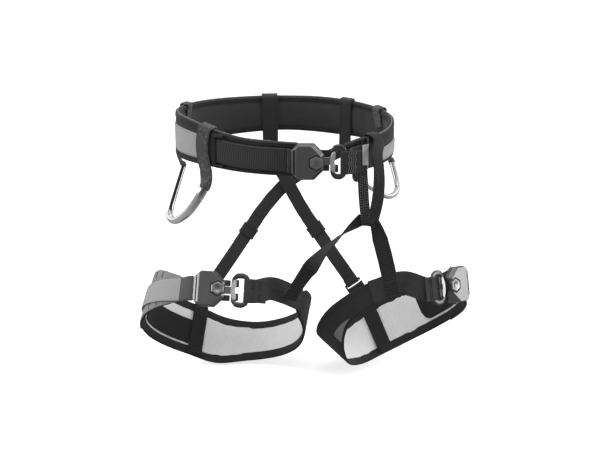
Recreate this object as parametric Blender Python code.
# Climbing harness: waist belt, two leg loops, rear risers, tie-in loops, leg bridges,
# gear loops and three hook buckles.
#
# Drafted in millimetres, built in metres, +Z up.  +X runs along the belt's width and the
# wearer's front is -Y.  "Left" is -X and "right" is +X, as seen by someone facing the
# wearer.  The floor under the lowest point is Z = 0.
import math
from typing import NamedTuple

import bmesh
import bpy
from mathutils import Vector

MM = 0.001
# from the drafting origin (between belt and legs) to the footprint's centre at floor level
SHIFT = Vector((1.64, 7.62, 215.82))
SHARP_ANGLE = 40.0      # edges steeper than this, in degrees, are shaded sharp

# ---------------------------------------------------------------- shared dimensions

GAP = 0.3               # air between pieces that touch on the real harness
WEB_WIDTH = 33.0        # load webbing, waist and legs
WEB_THICK = 2.0
BRIDGE_WIDTH = 22.0     # strap from the tie-in point to each leg loop
RIBBON_STEPS = 3        # sections between two given points of a ribbon
BAND_STEPS = 2          # the same for a band that runs over an edge

# ---------------------------------------------------------------- finishes


class Finish(NamedTuple):
    colour: tuple
    roughness: float
    metallic: float = 0.0


FINISHES = {
    "lining": Finish(colour=(0.030, 0.030, 0.032), roughness=0.80),
    "foam": Finish(colour=(0.10, 0.10, 0.10), roughness=0.95),
    "shell": Finish(colour=(0.022, 0.022, 0.024), roughness=0.75),
    "binding": Finish(colour=(0.035, 0.035, 0.037), roughness=0.70),
    "webbing": Finish(colour=(0.028, 0.028, 0.030), roughness=0.68),
    "elastic": Finish(colour=(0.033, 0.033, 0.035), roughness=0.72),
    "grey_fabric": Finish(colour=(0.30, 0.30, 0.30), roughness=0.80),
    "grey_webbing": Finish(colour=(0.36, 0.36, 0.36), roughness=0.72),
    "mesh": Finish(colour=(0.62, 0.62, 0.62), roughness=0.85),
    "housing": Finish(colour=(0.075, 0.075, 0.080), roughness=0.42, metallic=0.65),
    "ring": Finish(colour=(0.040, 0.040, 0.043), roughness=0.38, metallic=0.70),
    "hook": Finish(colour=(0.33, 0.33, 0.34), roughness=0.32, metallic=0.90),
    "plate": Finish(colour=(0.05, 0.05, 0.05), roughness=0.50, metallic=0.60),
    "tube": Finish(colour=(0.80, 0.80, 0.81), roughness=0.22, metallic=1.0),
    "plastic": Finish(colour=(0.025, 0.025, 0.026), roughness=0.45),
}


def make_material(name, finish_name):
    finish = FINISHES[finish_name]
    colour = (*finish.colour, 1.0)
    material = bpy.data.materials.new(name + "_finish")
    material.use_nodes = True
    material.diffuse_color = colour
    shader = material.node_tree.nodes["Principled BSDF"]
    shader.inputs["Base Color"].default_value = colour
    shader.inputs["Roughness"].default_value = finish.roughness
    shader.inputs["Metallic"].default_value = finish.metallic
    return material


# ---------------------------------------------------------------- meshes and objects


def make_mesh(name, verts, faces):
    """A mesh whose faces all point outwards."""
    mesh = bpy.data.meshes.new(name)
    mesh.from_pydata(verts, [], faces)
    work = bmesh.new()
    work.from_mesh(mesh)
    bmesh.ops.recalc_face_normals(work, faces=work.faces)
    work.to_mesh(mesh)
    work.free()
    return mesh


def link_object(name, mesh):
    piece = bpy.data.objects.new(name, mesh)
    bpy.context.scene.collection.objects.link(piece)
    return piece


def add_piece(name, finish, verts, faces, origin=(0.0, 0.0, 0.0)):
    """A named object from drafting points, its own origin at the given point."""
    origin = Vector(origin)
    mesh = make_mesh(name, [(Vector(vert) - origin) * MM for vert in verts], faces)
    mesh.shade_smooth()
    mesh.set_sharp_from_angle(angle=math.radians(SHARP_ANGLE))
    mesh.materials.append(make_material(name, finish))
    piece = link_object(name, mesh)
    piece.location = (origin + SHIFT) * MM


def tube_faces(rows, ring, closed=False):
    """Faces joining rows of `ring` points; the ends are capped unless closed on itself."""
    faces = []
    for i in range(rows if closed else rows - 1):
        j = (i + 1) % rows
        for k in range(ring):
            after = (k + 1) % ring
            faces.append((i * ring + k, i * ring + after, j * ring + after, j * ring + k))
    if not closed:
        faces.append(tuple(range(ring)))
        faces.append(tuple((rows - 1) * ring + k for k in reversed(range(ring))))
    return faces


# ---------------------------------------------------------------- curves


def hermite(share, start, start_slope, end, end_slope):
    """Cubic between two values or points, with the given slopes at its ends."""
    square, cube = share ** 2, share ** 3
    return ((2 * cube - 3 * square + 1) * start + (cube - 2 * square + share) * start_slope
            + (3 * square - 2 * cube) * end + (cube - square) * end_slope)


def table_value(table, angle):
    """Smooth periodic value at an angle, from a table of (degrees, value)."""
    count = len(table)
    first = table[0][0]
    angle = (angle - first) % 360.0 + first
    for i in range(count):
        start, start_value = table[i]
        end, end_value = table[(i + 1) % count]
        before, before_value = table[i - 1]
        after, after_value = table[(i + 2) % count]
        end += 360.0 if i == count - 1 else 0.0
        before -= 360.0 if i == 0 else 0.0
        after += 360.0 if i + 2 >= count else 0.0
        if start <= angle <= end:
            span = end - start
            rate_before = (start_value - before_value) / (start - before)
            rate = (end_value - start_value) / span
            rate_after = (after_value - end_value) / (after - end)
            return hermite((angle - start) / span,
                           start_value, 0.5 * (rate + rate_before) * span,
                           end_value, 0.5 * (rate_after + rate) * span)


def spline(points, steps):
    """Points along a smooth curve through the given points."""
    points = [Vector(point) for point in points]
    line = []
    for i in range(len(points) - 1):
        start, end = points[i], points[i + 1]
        before = points[i - 1] if i else points[0] * 2 - points[1]
        after = points[i + 2] if i + 2 < len(points) else points[-1] * 2 - points[-2]
        # slopes weighted by chord length keep the curve from bulging
        chord_before = (start - before).length
        chord = (end - start).length
        chord_after = (after - end).length
        rate_before = (start - before) / chord_before
        rate = (end - start) / chord
        rate_after = (after - end) / chord_after
        start_sum = chord_before + chord
        end_sum = chord + chord_after
        start_slope = rate * (chord_before / start_sum) + rate_before * (chord / start_sum)
        end_slope = rate_after * (chord / end_sum) + rate * (chord_after / end_sum)
        for k in range(steps):
            line.append(hermite(k / steps, start, start_slope * chord, end, end_slope * chord))
    line.append(points[-1].copy())
    return line


def tangent(line, i):
    return (line[min(i + 1, len(line) - 1)] - line[max(i - 1, 0)]).normalized()


def square_to(vector, axis):
    """The unit vector nearest to `vector` that is square to a unit axis."""
    return (vector - axis * vector.dot(axis)).normalized()


def hung(start, end, bow, count):
    """Points along a strand between two ends, bowed out most at its middle."""
    start, end, bow = Vector(start), Vector(end), Vector(bow)
    shares = [k / (count - 1) for k in range(count)]
    return [start.lerp(end, share) + bow * (4 * share * (1 - share)) for share in shares]


def bent(corners, take, steps):
    """Straight runs between corners, joined by arcs that take up `take` of each run."""
    points = [Vector(corner) for corner in corners]
    line = [points[0]]
    for before, corner, after in zip(points, points[1:], points[2:]):
        back, ahead = (before - corner).normalized(), (after - corner).normalized()
        cut = min(take, (before - corner).length * 0.48, (after - corner).length * 0.48)
        reach = cut / math.cos(back.angle(ahead) / 2)
        centre = corner + (back + ahead).normalized() * reach
        start = corner + back * cut - centre
        end = corner + ahead * cut - centre
        for k in range(steps + 1):
            line.append(centre + start.slerp(end, k / steps).normalized() * start.length)
    return line + [points[-1]]


def ribbon(name, finish, centre, across, width, thick):
    """A strap along a smooth line; `across` is its width direction at each given point."""
    line = spline(centre, RIBBON_STEPS)
    verts = []
    for i, point in enumerate(line):
        place = i / RIBBON_STEPS
        k = min(int(place), len(across) - 2)
        along = tangent(line, i)
        side = square_to(Vector(across[k]).lerp(Vector(across[k + 1]), place - k), along)
        face = along.cross(side).normalized() * thick / 2
        side = side * width / 2
        verts += [point - side - face, point + side - face,
                  point + side + face, point - side + face]
    add_piece(name, finish, verts, tube_faces(len(line), 4))


# ---------------------------------------------------------------- fabric bands


class Loop:
    """A fabric band round the body or a thigh: an oval in plan, tipped about X by
    `pitch`, then about Y by `roll`.

    A place on it is an angle in plan (0 is +X, 270 the front), a share of the height
    (0 lower edge, 1 upper), a distance out from the middle surface and a rise in mm.
    `top` and `bottom` are tables of (angle, height of the edge above the oval's plane);
    `flare` is (angle, how far the upper edge stands out past the lower one).
    """

    def __init__(self, centre, pitch, roll, half_size, front_power, back_power,
                 top, bottom, flare):
        self.centre = Vector(centre)
        pitch, roll = math.radians(pitch), math.radians(roll)

        def turn(x, y, z):
            y, z = (y * math.cos(pitch) - z * math.sin(pitch),
                    y * math.sin(pitch) + z * math.cos(pitch))
            return Vector((x * math.cos(roll) - z * math.sin(roll), y,
                           x * math.sin(roll) + z * math.cos(roll)))
        self.axes = turn(1, 0, 0), turn(0, 1, 0), turn(0, 0, 1)
        self.half_width, self.half_depth = half_size
        self.front_power, self.back_power = front_power, back_power
        self.top, self.bottom, self.flare = top, bottom, flare

    def plan(self, angle):
        x, y = math.cos(math.radians(angle)), math.sin(math.radians(angle))
        power = self.front_power if y <= 0 else self.back_power
        radius = (abs(x / self.half_width) ** power
                  + abs(y / self.half_depth) ** power) ** (-1.0 / power)
        return radius * x, radius * y

    def chord(self, angle):
        """The step in plan over one degree."""
        start_x, start_y = self.plan(angle - 0.5)
        end_x, end_y = self.plan(angle + 0.5)
        return end_x - start_x, end_y - start_y

    def speed(self, angle):
        """Millimetres along the band for each degree."""
        return math.hypot(*self.chord(angle))

    def outward(self, angle):
        x, y = self.chord(angle)
        length = math.hypot(x, y)
        return y / length, -x / length

    def height(self, angle):
        return table_value(self.top, angle) - table_value(self.bottom, angle)

    def at(self, angle, share, out=0.0, rise=0.0):
        x, y = self.plan(angle)
        out_x, out_y = self.outward(angle)
        height = self.height(angle)
        z = table_value(self.bottom, angle) + height * share + rise
        out += table_value(self.flare, angle) * (share - 0.5 + rise / height)
        axis_x, axis_y, axis_z = self.axes
        return self.centre + axis_x * (x + out_x * out) + axis_y * (y + out_y * out) + axis_z * z

    def up(self, angle):
        return (self.at(angle, 1.0) - self.at(angle, 0.0)).normalized()

    def inset_span(self, span, inset):
        """A span of angles drawn in at both ends by a length."""
        start, end = span
        return start + inset / self.speed(start), end - inset / self.speed(end)

    def middle_line(self, stations):
        """Points near mid-height, from (angle, rise, out)."""
        return [self.at(angle, 0.5, out, rise) for angle, rise, out in stations]


def patch(name, finish, loop, span, low, high, inner, outer, steps, corner=0.0):
    """Fabric lying along a loop.  low and high are its edges as (share, rise), inner and
    outer its faces, corner the radius that rounds its ends off."""
    start, end = span
    verts = []
    for i in range(steps + 1):
        angle = start + (end - start) * i / steps
        cut = 0.0
        if corner:
            to_end = min(abs(angle - start), abs(end - angle)) * loop.speed(angle)
            short = corner - min(to_end, corner)
            cut = corner - math.sqrt(max(corner ** 2 - short ** 2, 0.0))
        verts += [loop.at(angle, low[0], inner, low[1] + cut),
                  loop.at(angle, low[0], outer, low[1] + cut),
                  loop.at(angle, high[0], outer, high[1] - cut),
                  loop.at(angle, high[0], inner, high[1] - cut)]
    add_piece(name, finish, verts, tube_faces(steps + 1, 4))


def rim(name, loop, span, width, half_thick, steps):
    """Tape round all four sides of an open pad: its outer edge follows the loop's edges,
    its inner edge lies `width` inside them."""
    start, end = loop.inset_span(span, width)
    run = [start + (end - start) * i / steps for i in range(steps + 1)]
    # angle of the inner edge, angle of the outer edge, share, rise of the inner edge
    stations = [(angle, angle, 0.0, width) for angle in run]
    stations += [(end, span[1], 0.0, width), (end, span[1], 1.0, -width)]
    stations += [(angle, angle, 1.0, -width) for angle in reversed(run)]
    stations += [(start, span[0], 1.0, -width), (start, span[0], 0.0, width)]
    verts = []
    for inner, outer, share, rise in stations:
        verts += [loop.at(inner, share, -half_thick, rise), loop.at(inner, share, half_thick, rise),
                  loop.at(outer, share, half_thick), loop.at(outer, share, -half_thick)]
    add_piece(name, "binding", verts, tube_faces(len(stations), 4, closed=True))


def wrap_band(name, loop, middle, width, path, thick, slant=0.0):
    """A strap that runs over a loop's edge, centred on the angle `middle`.

    path lists (share, rise, out) of the strap's middle line in the plane across the
    loop.  slant moves its lower end along the loop by that many degrees."""
    half = width / 2 / loop.speed(middle)
    full = loop.height(middle)
    line = spline([(out, full * share + rise, 0.0) for share, rise, out in path], BAND_STEPS)
    verts = []
    for i, point in enumerate(line):
        along = tangent(line, i)
        face = Vector((along.y, -along.x, 0.0)) * thick / 2
        for edge, side in ((-half, -1), (half, -1), (half, 1), (-half, 1)):
            spot = point + face * side
            lowness = 1.0 - min(max(spot.y / full, -0.2), 1.0)
            angle = middle + edge + slant * lowness
            verts.append(loop.at(angle, 0.0, spot.x, spot.y * loop.height(angle) / full))
    add_piece(name, "webbing", verts, tube_faces(len(line), 4))


# ---------------------------------------------------------------- closed shapes
# A shape is a pair (verts, faces) in a buckle's own frame.


def mirrored(half):
    """A whole outline from its -Y half, listed from the -X end."""
    return list(half) + [(x, -y) for x, y in reversed(half)]


def prism(outline, levels):
    """Stacked outlines: levels lists (z, inset); the outline shrinks by inset."""
    count = len(outline)
    verts = []
    for z, inset in levels:
        for i in range(count):
            before, corner, after = (Vector(outline[(i + k) % count]) for k in (-1, 0, 1))
            edge_in = (corner - before).normalized()
            edge_out = (after - corner).normalized()
            normal = Vector((-edge_in.y, edge_in.x))
            mitre = (normal + Vector((-edge_out.y, edge_out.x))).normalized()
            moved = corner + mitre * (inset / max(mitre.dot(normal), 0.2))
            verts.append((moved.x, moved.y, z))
    return verts, tube_faces(len(levels), count)


def box(x_span, half_y, z_span):
    verts = [(x, y, z) for x in x_span for y in (-half_y, half_y) for z in z_span]
    faces = [(0, 1, 3, 2), (4, 6, 7, 5), (0, 4, 5, 1), (2, 3, 7, 6), (0, 2, 6, 4), (1, 5, 7, 3)]
    return verts, faces


def solid(base_shape, joined=(), cut=()):
    """One closed shape with others joined to it or cut away."""
    base = link_object("base", make_mesh("base", *base_shape))
    tools = []
    for operation, shapes in (("UNION", joined), ("DIFFERENCE", cut)):
        for shape in shapes:
            tool = link_object("tool", make_mesh("tool", *shape))
            tools.append(tool)
            boolean = base.modifiers.new("boolean", "BOOLEAN")
            boolean.operation = operation
            boolean.solver = "EXACT"
            boolean.object = tool
    bpy.context.view_layer.update()
    depsgraph = bpy.context.evaluated_depsgraph_get()
    mesh = bpy.data.meshes.new_from_object(base.evaluated_get(depsgraph))
    verts = [tuple(vert.co) for vert in mesh.vertices]
    faces = [tuple(face.vertices) for face in mesh.polygons]
    for item in [base] + tools:
        bpy.data.objects.remove(item)
    return verts, faces


# ---------------------------------------------------------------- buckles
# In a buckle's own frame X runs from housing to ring and Z out of the front face.

HOUSING = mirrored(((-21.5, -16.0), (-12.0, -25.0), (9.0, -25.0), (22.0, -11.5)))
HOUSING_BACK, HOUSING_SHOULDER, HOUSING_FRONT = -5.4, 1.8, 5.6
HOUSING_BEVEL = 4.2
CUT_Z = 9.0                         # cuts reach this far in front and behind
POCKET_HALF = 17.2                  # half length of the pocket round the adjuster bar
POCKET_X, POCKET_TOP = (-18.6, -1.2), 4.3
MOUTH_X, MOUTH_TOP = (-26.0, -18.0), -2.3      # notch in the end wall for the webbing
PLATE_Z = (-7.2, -5.7)
PLATE_SCALE = 0.95                  # back plate's outline against the housing's
EAR_REACH = 29.6                    # the plate's ears, beside the hook's stem
EAR_HALF = 14.8
EAR_GAP = 6.4
HEX_CENTRE_X = 12.0
HEX_RADIUS = 10.3                   # centre to corner, two corners on the Y direction
HEX_FRONT, HEX_CHAMFER_DEPTH, HEX_CHAMFER_INSET = 6.6, 1.4, 1.8
HEX_PLAY, STEM_PLAY = 0.9, 0.8      # room round the hook in the housing
HOOK_BACK, HOOK_THICK = -4.6, 2.0
STEM_HALF, STEM_END = 5.2, 40.2
TEE = mirrored(((34.8, -9.0), (37.6, -14.8), (41.0, -14.8), (41.0, -5.0), (39.2, -3.4)))
TEE_Z = (HOOK_BACK + 1.4, 0.6)
RING_AXIS_X = 32.2                  # the bar the hook turns on
RING_FAR_X = 53.0                   # the bar the webbing is sewn round
RING_BAR = 2.5                      # half thickness of the far bar
# half of the ring's middle line: x, y, half width in plan, half thickness
RING_HALF = (
    (RING_AXIS_X, 0.0, 1.5, 1.5), (RING_AXIS_X, 9.0, 1.5, 1.5), (RING_AXIS_X + 0.8, 15.2, 1.7, 1.7),
    (37.4, 20.6, 3.0, 2.5), (47.5, 21.2, 3.2, 2.5), (52.6, 18.9, 2.7, 2.5),
    (RING_FAR_X, 15.6, RING_BAR, RING_BAR), (RING_FAR_X, 0.0, RING_BAR, RING_BAR),
)
# the ring's cross-section: shares of half width and half thickness
RING_SECTION = ((1, 0.45), (0.45, 1), (-0.45, 1), (-1, 0.45),
                (-1, -0.45), (-0.45, -1), (0.45, -1), (1, -0.45))
ADJUSTER_X, ADJUSTER_Z, ADJUSTER_RADIUS = -8.0, -0.6, 2.0
ADJUSTER_HALF = 16.4


class Frame:
    """A buckle's place: housing centre, direction to the ring, direction out."""

    def __init__(self, centre, along, out):
        self.centre = Vector(centre)
        self.z = Vector(out).normalized()
        self.x = square_to(Vector(along), self.z)
        self.y = self.z.cross(self.x)

    def point(self, x, y, z):
        return self.centre + self.x * x + self.y * y + self.z * z

    def round_bar(self, x, z, radius, angles):
        """Points round a bar along Y, at angles from X towards Z."""
        return [self.point(x + radius * math.cos(math.radians(angle)), 0,
                           z + radius * math.sin(math.radians(angle))) for angle in angles]


BUCKLES = {
    "waist": Frame(centre=(3.0, -118.0, 116.0), along=(1.0, 0.0, 0.0), out=(0.0, -0.992, -0.125)),
    "left_leg": Frame(centre=(-133.0, -91.0, -68.0), along=(0.998, 0.0, -0.06),
                      out=(0.04, -0.88, 0.47)),
    "right_leg": Frame(centre=(216.0, -56.0, -72.0), along=(-0.72, -0.687, 0.086),
                       out=(0.68, -0.685, 0.222)),
}


def hexagon(radius):
    return [(HEX_CENTRE_X + radius * math.cos(math.radians(angle)),
             radius * math.sin(math.radians(angle))) for angle in range(30, 390, 60)]


def housing_shape():
    """A bevelled block with a hexagonal hole, a slot for the stem and a rear pocket."""
    block = prism(HOUSING, [(HOUSING_BACK, 0.0), (HOUSING_SHOULDER, 0.0),
                            (HOUSING_FRONT, HOUSING_BEVEL)])
    hole = prism(hexagon(HEX_RADIUS + HEX_PLAY), [(-CUT_Z, 0.0), (CUT_Z, 0.0)])
    slot = box((HEX_CENTRE_X, 26.0), STEM_HALF + STEM_PLAY, (-CUT_Z, CUT_Z))
    pocket = box(POCKET_X, POCKET_HALF, (-CUT_Z, POCKET_TOP))
    mouth = box(MOUTH_X, POCKET_HALF, (-CUT_Z, MOUTH_TOP))
    return solid(block, cut=(hole, slot, pocket, mouth))


def plate_shape():
    """The housing's outline drawn in a little, with an ear on each side of the stem."""
    half = [(x * PLATE_SCALE, y * PLATE_SCALE) for x, y in HOUSING[:4]]
    right, right_y = half.pop()
    slant_x, slant_y = half[-1]
    slope = (slant_y - right_y) / (slant_x - right)
    ear_start = right - (EAR_HALF + right_y) / slope
    half += [(ear_start, -EAR_HALF), (EAR_REACH, -EAR_HALF), (EAR_REACH, -EAR_GAP),
             (right, -EAR_GAP)]
    return prism(mirrored(half), [(z, 0.0) for z in PLATE_Z])


def hook_shape():
    """A chamfered hexagon, a flat stem and a cross piece at the stem's end."""
    head = prism(hexagon(HEX_RADIUS), [(HOOK_BACK, 0.0), (HEX_FRONT - HEX_CHAMFER_DEPTH, 0.0),
                                       (HEX_FRONT, HEX_CHAMFER_INSET)])
    stem = box((HEX_CENTRE_X, STEM_END), STEM_HALF, (HOOK_BACK, HOOK_BACK + HOOK_THICK))
    tee = prism(TEE, [(z, 0.0) for z in TEE_Z])
    return solid(head, joined=(stem, tee))


def ring_shape():
    """A closed bar that follows a clipped rectangle."""
    line = list(RING_HALF)
    line += [(x, -y, width, thick) for x, y, width, thick in reversed(RING_HALF[1:-1])]
    verts = []
    for i, (x, y, width, thick) in enumerate(line):
        before = Vector(line[i - 1][:2])
        after = Vector(line[(i + 1) % len(line)][:2])
        along = (after - before).normalized()
        for out_share, z_share in RING_SECTION:
            out = width * out_share
            verts.append((x + along.y * out, y - along.x * out, thick * z_share))
    return verts, tube_faces(len(line), len(RING_SECTION), closed=True)


def adjuster_shape():
    verts = [(ADJUSTER_X + ADJUSTER_RADIUS * math.cos(math.radians(angle)), y,
              ADJUSTER_Z + ADJUSTER_RADIUS * math.sin(math.radians(angle)))
             for y in (-ADJUSTER_HALF, ADJUSTER_HALF) for angle in range(0, 360, 45)]
    return verts, tube_faces(2, 8)


def build_buckles():
    """One set of shapes, placed three times."""
    # name, finish, shape, (x, z) of the piece's origin
    parts = (
        ("housing", "housing", housing_shape(), (0, 0)),
        ("back_plate", "plate", plate_shape(), (0, 0)),
        ("adjuster_bar", "plate", adjuster_shape(), (ADJUSTER_X, ADJUSTER_Z)),
        ("hook", "hook", hook_shape(), (RING_AXIS_X, 0)),
        ("ring", "ring", ring_shape(), (RING_FAR_X, 0)),
    )
    for prefix, frame in BUCKLES.items():
        for name, finish, (verts, faces), (x, z) in parts:
            add_piece(f"{prefix}_buckle_{name}", finish, [frame.point(*vert) for vert in verts],
                      faces, frame.point(x, 0, z))


def adjuster_wrap(frame):
    """Eight points of webbing: into a housing and round its adjuster bar."""
    radius = ADJUSTER_RADIUS + 0.5 + WEB_THICK / 2
    level = HOUSING_BACK + 1.3
    return ([frame.point(-25.0, 0, level), frame.point(-17.0, 0, level)]
            + frame.round_bar(ADJUSTER_X, ADJUSTER_Z, radius, (-90, -45, 0, 45, 90))
            + [frame.point(-14.5, 0, ADJUSTER_Z + radius - 0.3)])


def ring_wrap(frame, tail):
    """Nine points of webbing round the ring's far bar, front layer first.  tail holds
    the (x, z) of its two free-end points."""
    radius = RING_BAR + 0.6 + WEB_THICK / 2
    beyond = 60.5                   # where each layer leaves the bar
    return ([frame.point(x, 0, z) for x, z in tail]
            + [frame.point(beyond, 0, 3.0)]
            + frame.round_bar(RING_FAR_X, 0, radius, (90, 135, 180, 225, 270))
            + [frame.point(beyond, 0, -3.4)])


# ---------------------------------------------------------------- waist belt

BELT = Loop(
    centre=(-28.0, 0.0, 131.0), pitch=7.5, roll=0.0,
    half_size=(152.0, 104.0), front_power=2.25, back_power=2.05,
    top=((0, 24), (25, 25), (60, 27), (90, 27), (135, 29), (165, 34), (180, 38), (205, 42),
         (225, 34), (240, 28), (270, 24), (300, 22), (335, 21)),
    bottom=((0, -23), (45, -27), (90, -25), (135, -27), (180, -24), (215, -18), (240, -21),
            (270, -24), (300, -25), (335, -24)),
    flare=((0, 0), (120, 0), (240, 0)),
)
BELT_SPAN = (-49.0, 281.5)          # from the right end round the back to the left end
BELT_STEPS = 52
BELT_RIM = 3.6                      # height of the edge binding

# levels out from the belt's middle surface
FOAM_FACE = 2.5
SKIN_INNER = FOAM_FACE + GAP
SKIN_OUTER = SKIN_INNER + 1.5       # lining and shell are 1.5 thick
BELT_RIM_FACE = SKIN_OUTER + GAP
ON_PAD = BELT_RIM_FACE + GAP        # first layer outside the pad
WEB_MIDDLE = ON_PAD + WEB_THICK / 2
WEB_LIFTED = WEB_MIDDLE + 3.1       # where a gear band passes underneath
OVER_WEB = ON_PAD + WEB_THICK + GAP + 0.4
BAND_LEVEL = SKIN_OUTER + 2.0       # a band's middle line beside the edge binding
TIE_IN_LEVEL = ON_PAD + WEB_THICK + 3.4

# name, finish, inner face, outer face
BELT_LAYERS = (
    ("waist_foam", "foam", -FOAM_FACE, FOAM_FACE),
    ("waist_lining", "lining", -SKIN_OUTER, -SKIN_INNER),
    ("waist_shell", "shell", SKIN_INNER, SKIN_OUTER),
)
# name, finish, angles, lower and upper edge (share, rise), inner face, thickness, steps
BELT_PATCHES = (
    ("waist_side_panel_left", "grey_fabric", (184, 212.5), (0.17, 0), (0.76, 0), ON_PAD, 1.2, 8),
    ("waist_side_panel_right", "grey_fabric", (327.5, 354.5), (0.14, 0), (0.56, 0),
     ON_PAD, 1.2, 8),
    ("webbing_keeper_black", "elastic", (223.6, 227.6), (0.5, -21), (0.5, 21), OVER_WEB, 1.2, 3),
    ("webbing_keeper_grey", "grey_webbing", (321.6, 326.0), (0.5, -18.5), (0.5, 17.5),
     WEB_LIFTED + 1.4, 1.4, 3),
)

# angles of the waist webbing's points
WAIST_LEFT_ANGLES = (218, 226, 235, 244, 253, 262, 269)
WAIST_RIGHT_ANGLES = (315, 318.5, 322, 325.6)
WAIST_TAIL = ((80.0, -1.0), (71.0, 0.6))

BELT_BAND_THICK = 1.7
GEAR_BAND_WIDTH = 16.0
# name, angle, inner end (share, rise), lift off the pad, slant,
# lower end past the belt's bottom edge: (rise, out from ON_PAD)
GEAR_BANDS = (
    ("front_left", 217.2, (1, -16), 4.4, 0.0, ((-5, 4.0), (-20, 3.5))),
    ("front_right", 318.0, (1, -16), 1.5, 0.0, ((1, 1.4), (-2, 1.4))),
    ("rear_left", 166.0, (0.5, 0), 1.5, 9.0, ((-3, 1.0), (-13, -2.5), (-19, -5.0))),
    ("rear_right", 19.0, (0.5, 0), 1.5, -8.0, ((-3, 1.0), (-9, 0.0), (-14, -1.5))),
)
# name, angle, width
LUMBAR_BANDS = (("left", 103.2, 23.0), ("right", 43.0, 19.0))
LUMBAR_DROP = 22.0                  # how far they hang below the belt

GEAR_TUBE_RADIUS = 5.2
GEAR_TUBE_BEND = 15.0               # straight taken up on each side of a bend
GEAR_TUBE_BEND_STEPS = 4
# corners of each gear loop's middle line, front end first
GEAR_LOOPS = {
    "left": ((-136, -87, 76), (-142, -85, 64), (-160, -64, 34), (-184, -34, 12),
             (-196, -10, 15), (-174, 15, 85)),
    "right": ((70, -87, 87), (118, -32, 46), (135, 4, 50), (125, 33, 86)),
}


def build_belt_pad():
    """The pad in layers, its binding, and the patches laid on it."""
    inset = BELT_RIM + GAP
    span = BELT.inset_span(BELT_SPAN, inset)
    for name, finish, inner, outer in BELT_LAYERS:
        patch(name, finish, BELT, span, (0, inset), (1, -inset), inner, outer, BELT_STEPS)
    rim("waist_edge_binding", BELT, BELT_SPAN, BELT_RIM, BELT_RIM_FACE, BELT_STEPS)
    for name, finish, span, low, high, inner, thick, steps in BELT_PATCHES:
        patch(name, finish, BELT, span, low, high, inner, inner + thick, steps)


def build_waist_webbing():
    frame = BUCKLES["waist"]
    stations = [(angle, 0, WEB_MIDDLE) for angle in WAIST_LEFT_ANGLES]
    stations.append((273.5, 0, WEB_MIDDLE + 1.2))
    ribbon("waist_webbing_left", "webbing", BELT.middle_line(stations) + adjuster_wrap(frame),
           [BELT.up(240)] * 8 + [frame.y] * 8, WEB_WIDTH, WEB_THICK)
    stations = [(angle, 0, WEB_LIFTED) for angle in WAIST_RIGHT_ANGLES]
    ribbon("waist_webbing_right", "webbing",
           ring_wrap(frame, WAIST_TAIL) + BELT.middle_line(stations),
           [frame.y] * 9 + [BELT.up(320)] * 4, WEB_WIDTH, WEB_THICK)


def over_top(outer_shoulder, outer):
    """A band's path over the belt's upper edge, from inside to outside."""
    return [(1, -5, -BAND_LEVEL), (1, 0.2, -BAND_LEVEL), (1, 1.9, -5.0), (1, 2.3, -2.5),
            (1, 2.3, 2.5), (1, 1.9, outer_shoulder), (1, 0.2, outer), (1, -5, outer)]


def build_gear_bands():
    for name, angle, inner_end, lift, slant, lower_end in GEAR_BANDS:
        outer = ON_PAD + lift
        path = [(*inner_end, -BAND_LEVEL)] + over_top(outer - 1.2, outer)
        path += [(0.5, 0, outer), (0, 4, outer)]
        path += [(0, rise, ON_PAD + out) for rise, out in lower_end]
        wrap_band("gear_band_" + name, BELT, angle, GEAR_BAND_WIDTH, path, BELT_BAND_THICK,
                  slant=slant)


def build_lumbar_bands():
    """Bands from the belt's outer face over its top and down its inner face."""
    path = [(0.45, 0, BAND_LEVEL)] + over_top(5.0, BAND_LEVEL)[::-1]
    path += [(0.5, 0, -BAND_LEVEL), (0, 3, -BAND_LEVEL), (0, -LUMBAR_DROP, -BAND_LEVEL)]
    for name, angle, width in LUMBAR_BANDS:
        wrap_band("lumbar_band_" + name, BELT, angle, width, path, BELT_BAND_THICK)


def build_gear_loop(name, corners):
    """A bent tube from the front band to the rear band."""
    line = bent(corners, GEAR_TUBE_BEND, GEAR_TUBE_BEND_STEPS)
    side = tangent(line, 0).cross(Vector((0.0, 0.0, 1.0))).normalized()
    verts = []
    for i, point in enumerate(line):
        along = tangent(line, i)
        side = square_to(side, along)   # carried along so the tube does not twist
        other = along.cross(side)
        for k in range(8):
            turn = math.radians(45 * k + 22.5)
            verts.append(point + side * GEAR_TUBE_RADIUS * math.cos(turn)
                         + other * GEAR_TUBE_RADIUS * math.sin(turn))
    add_piece("gear_loop_" + name, "tube", verts, tube_faces(len(line), 8), corners[0])


# ---------------------------------------------------------------- tie-in loops and bridges

TIE_IN_THICK = 2.2
TIE_IN_INNER_WIDTH = 14.0
TIE_IN_OUTER_WIDTH = 16.0
# points on the belt: angle, share, out, rise
TIE_IN_INNER_BELT = (
    (323.8, 0.0, WEB_LIFTED + 0.7, 1.0), (323.8, 0.0, WEB_LIFTED + 3.4, -10),
)
TIE_IN_OUTER_BELT = (
    (329.5, 1.0, -SKIN_OUTER - 2.4, -14), (329.5, 1.0, -SKIN_OUTER - 2.4, -3),
    (329.5, 1.0, -SKIN_OUTER - 0.8, 3.2), (329.5, 1.0, 0.0, 4.6), (330, 1.0, 6.5, 4.2),
    (330.5, 1.0, TIE_IN_LEVEL + 0.3, -1), (331.5, 0.5, TIE_IN_LEVEL + 1.5, 0),
    (332.5, 0.0, TIE_IN_LEVEL + 3.0, 4),
)
TIE_IN_INNER_HANG = hung((79.5, -101.5, 74), (81.5, -102.0, 34), bow=(0, -0.7, 0), count=3)
TIE_IN_OUTER_HANG = hung((100.5, -98.0, 86), (91.5, -104.8, 28), bow=(3, -2.5, 0), count=4)
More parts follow.
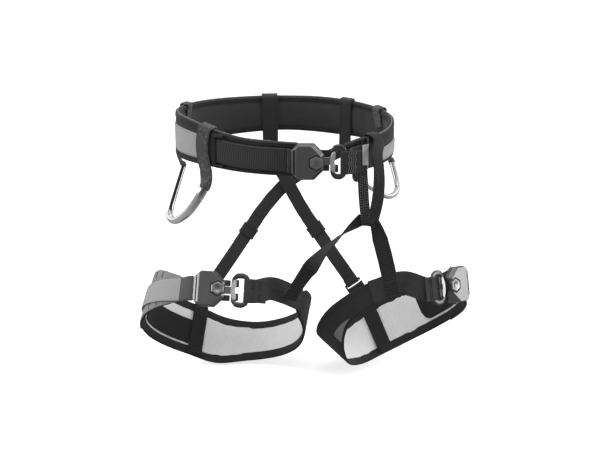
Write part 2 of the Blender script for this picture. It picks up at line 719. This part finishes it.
# width directions, one for each point
TIE_IN_INNER_ACROSS = [(0.9, 0.42, 0)] * 2 + [(1, 0, 0)] * 3
TIE_IN_OUTER_ACROSS = [(0.75, 0.66, 0)] * 8 + [(1, 0.25, 0)] + [(1, 0, 0)] * 3

# each bridge's middle line, and its width direction at each point
BRIDGES = {
    "left": (
        hung((80, -94, 33), (-22, -71, -90), bow=(-7.5, -3.5, 6), count=8),
        ((0.3, -0.35, 0.9), (0.4, -0.55, 0.75), (0.5, -0.75, 0.5), (0.62, -0.68, 0.45),
         (0.78, -0.4, 0.48), (0.86, 0.0, 0.5), (0.88, 0.15, 0.42), (0.88, 0.15, 0.38))),
    "right": (
        hung((94, -98, 27), (122, -98, -80), bow=(2, 2, 0), count=6),
        ((1, 0, 0.1), (1, 0, 0.1), (1, 0, 0.12), (1, 0, 0.18), (1, 0.1, 0.25), (1, 0.1, 0.25))),
}


def build_tie_in_loops():
    ribbon("tie_in_loop_inner", "webbing",
           [BELT.at(*place) for place in TIE_IN_INNER_BELT] + TIE_IN_INNER_HANG,
           TIE_IN_INNER_ACROSS, TIE_IN_INNER_WIDTH, TIE_IN_THICK)
    ribbon("tie_in_loop_outer", "webbing",
           [BELT.at(*place) for place in TIE_IN_OUTER_BELT] + TIE_IN_OUTER_HANG,
           TIE_IN_OUTER_ACROSS, TIE_IN_OUTER_WIDTH, TIE_IN_THICK)


# ---------------------------------------------------------------- rear risers
# Elastic straps, named for the leg they reach; they cross behind the wearer.

RISER_WIDTH = 20.0
RISER_THICK = 1.8
RISER_OFFSET = RISER_THICK / 2 + 0.25   # each layer's middle from the plane between them
# points down from the belt, slider centre, foot
RISERS = {
    "left": (hung((54, 80, 94), (-20, 100, 46), bow=(0, 8, 0), count=4),
             (-85, 93, -32), (-138, 80, -110)),
    "right": (hung((-50, 90, 96), (-26, 95, 42), bow=(-2, 3.5, 1), count=3),
              (16.5, 90, -29), (70, 73, -105)),
}
# rectangles: half width, lower limit, upper limit
SLIDER_HOLE, SLIDER_OUTLINE = (10.7, -2.6, 2.6), (12.4, -4.0, 4.0)
SLIDER_HALF_DEPTH = 8.5
HOOK_BAR = 1.4                      # half thickness of the riser hook's upper bar
HOOK_HOLE, HOOK_OUTLINE = (10.7, HOOK_BAR, 11.2), (13.4, -HOOK_BAR, 14.0)


def add_open_frame(name, origin, across, rise, through, hole, outline, half_depth):
    """A rectangular frame in the plane of across and rise, open along `through`."""
    verts = []
    for depth in (-half_depth, half_depth):
        for half, low, high in (hole, outline):
            for x, y in ((-half, low), (half, low), (half, high), (-half, high)):
                verts.append(origin + across * x + rise * y + through * depth)
    faces = []
    for k in range(4):
        after = (k + 1) % 4
        faces += [(k, after, 8 + after, 8 + k), (4 + k, 12 + k, 12 + after, 4 + after),
                  (k, 4 + k, 4 + after, after), (8 + k, 8 + after, 12 + after, 12 + k)]
    add_piece(name, "plastic", verts, faces, origin)


def build_riser(name, top_points, slider, foot):
    slider, foot = Vector(slider), Vector(foot)
    length = (foot - slider).length
    down = (foot - slider).normalized()
    out = square_to(Vector((0.0, 1.0, 0.0)), down)      # towards the back
    across = down.cross(out).normalized()

    def strap(part, line):
        ribbon(f"riser_{part}_{name}", "elastic", line, [across] * len(line),
               RISER_WIDTH, RISER_THICK)

    outer = slider + out * RISER_OFFSET
    inner = slider - out * RISER_OFFSET
    strap("upper", top_points + [outer - down * 30, outer, outer + down * 24])

    # the lower strap passes behind the hook's upper bar, through the hook and back up
    bar = inner + down * (length + 2.0)
    radius = HOOK_BAR + 0.9 + RISER_THICK / 2
    line = [inner - down * 24, inner, inner + down * (length * 0.5),
            bar - down * 10.0 + out * (radius - 0.1)]
    for angle in (90, 135, 180, 225, 270):
        turn = math.radians(angle)
        line.append(bar + out * radius * math.sin(turn) - down * radius * math.cos(turn))
    line.append(bar - down * 9.0 - out * (radius - 0.2))
    strap("lower", line)

    # the slider is a flat sleeve round both layers
    add_open_frame("riser_slider_" + name, slider, across, out, down,
                   SLIDER_HOLE, SLIDER_OUTLINE, SLIDER_HALF_DEPTH)
    add_open_frame("riser_hook_" + name, bar, across, down, out,
                   HOOK_HOLE, HOOK_OUTLINE, HOOK_BAR)


# ---------------------------------------------------------------- leg loops

LEG_STEPS = 40
LEG_RIM = 11.5                      # width of the tape round a leg pad
LEG_PAD_FACE = 1.5                  # half thickness of the mesh pad
LEG_RIM_FACE = LEG_PAD_FACE + GAP
LEG_PATCH_FACE = LEG_RIM_FACE + GAP
LEG_PATCH_THICK = 1.4
LEG_COVER_FACES = (2.4, 3.6)
LEG_COVER_OVERHANG = 0.5
LEG_TAIL = ((84.0, -0.6), (72.0, 1.0))
LEG_STRAP_ANGLE = 117.0
LEG_STRAP_THICK = 1.6
# share, rise, out: over the upper edge and down the inner face
LEG_STRAP_PATH = (
    (1, 12, 3.4), (1, 5, 2.2), (1, 2.6, -0.4), (1, 0.6, -3.4), (1, -5, -4.4), (1, -12, -4.8),
    (0.5, 0, -4.8), (0, 4, -4.8), (0, 1.5, -4.8),
)

# span, patch and cover are angles; patch_top is a share of the height;
# rear and front are the webbing's (angle, rise, out);
# flip turns the buckle's Y to agree with the webbing's upward direction
LEGS = {
    "left": dict(
        loop=Loop(
            centre=(-113.0, -20.0, -130.0), pitch=-42.0, roll=-13.0,
            half_size=(114.0, 82.0), front_power=2.2, back_power=2.2,
            top=((0, 52), (60, 31), (90, 30), (120, 38), (150, 40), (180, 37), (225, 22),
                 (270, 18), (315, 38)),
            bottom=((0, -10), (60, -30), (90, -42), (120, -39), (180, -38), (225, -24),
                    (270, -9), (315, 9)),
            flare=((0, 0), (90, 0), (180, -4), (225, 6), (255, 10), (300, 8))),
        span=(-30.0, 224.0),
        patch=(129.0, 172.0), patch_top=0.66, patch_corner=0.0,
        cover=(166.0, 226.0),
        rear=((170, 4, 5.8), (180, 2, 5.8), (190, -1, 5.8), (200, -4, 5.8), (210, -6, 5.8),
              (218, -7.5, 6.2), (225, -8, 7.0)),
        front=((305, -1, 6.4), (314, -2, 5.6), (323, -2, 5.0), (332, 0, 4.6)),
        flip=1.0),
    "right": dict(
        loop=Loop(
            centre=(126.0, -20.0, -122.0), pitch=-35.0, roll=25.0,
            half_size=(100.0, 80.0), front_power=2.2, back_power=2.2,
            top=((0, 26), (60, 47), (90, 47), (120, 40), (150, 26), (180, 12), (225, 21),
                 (270, 26), (315, 18)),
            bottom=((0, -30), (60, -28), (90, -29), (120, -34), (150, -43), (180, -44),
                    (225, -14), (270, -6), (315, -12)),
            flare=((0, 0), (90, 0), (180, 26), (270, 0))),
        span=(-4.0, 272.0),
        patch=(8.0, 66.0), patch_top=0.86, patch_corner=14.0,
        cover=(-3.0, 44.0),
        rear=((40, 4, 5.6), (30, 3, 5.6), (20, 2, 5.6), (10, 2, 6.0), (2, 2, 6.8)),
        front=((290, -1, 6.2), (280, -1, 5.4), (271, -1, 5.0), (262, 0, 4.6)),
        flip=-1.0),
}


def build_leg_pad(name, leg):
    """Mesh pad, binding, the patch and strap inside it, and the cover outside."""
    loop = leg["loop"]
    inset = LEG_RIM + GAP
    patch("leg_pad_" + name, "mesh", loop, loop.inset_span(leg["span"], inset),
          (0, inset), (1, -inset), -LEG_PAD_FACE, LEG_PAD_FACE, LEG_STEPS)
    rim("leg_edge_binding_" + name, loop, leg["span"], LEG_RIM, LEG_RIM_FACE, LEG_STEPS)
    patch("leg_inner_patch_" + name, "webbing", loop, leg["patch"],
          (0, LEG_RIM + 2.5), (leg["patch_top"], 0),
          -LEG_PATCH_FACE - LEG_PATCH_THICK, -LEG_PATCH_FACE, 9, corner=leg["patch_corner"])
    wrap_band("leg_inner_strap_" + name, loop, LEG_STRAP_ANGLE, BRIDGE_WIDTH - 2,
              LEG_STRAP_PATH, LEG_STRAP_THICK)
    patch("leg_cover_" + name, "grey_fabric", loop, leg["cover"],
          (0, -LEG_COVER_OVERHANG), (1, LEG_COVER_OVERHANG), *LEG_COVER_FACES, 18)


def build_leg_webbing(name, leg):
    """Rear webbing to the adjuster bar, front webbing from the ring."""
    loop, rear, front = leg["loop"], leg["rear"], leg["front"]
    frame = BUCKLES[name + "_leg"]
    buckle_up = frame.y * leg["flip"]
    ribbon("leg_webbing_rear_" + name, "grey_webbing",
           loop.middle_line(rear) + adjuster_wrap(frame),
           [loop.up(station[0]) for station in rear] + [buckle_up] * 8, WEB_WIDTH, WEB_THICK)
    ribbon("leg_webbing_front_" + name, "webbing",
           ring_wrap(frame, LEG_TAIL) + loop.middle_line(front),
           [buckle_up] * 9 + [loop.up(station[0]) for station in front], WEB_WIDTH, WEB_THICK)


# ---------------------------------------------------------------- assembly


def build():
    build_belt_pad()
    build_waist_webbing()
    build_gear_bands()
    build_lumbar_bands()
    for name, corners in GEAR_LOOPS.items():
        build_gear_loop(name, corners)
    build_buckles()
    build_tie_in_loops()
    for name, (centre, across) in BRIDGES.items():
        ribbon("leg_bridge_" + name, "webbing", centre, across, BRIDGE_WIDTH, WEB_THICK)
    for name, riser in RISERS.items():
        build_riser(name, *riser)
    for name, leg in LEGS.items():
        build_leg_pad(name, leg)
        build_leg_webbing(name, leg)


for old in list(bpy.data.objects):
    bpy.data.objects.remove(old)
build()
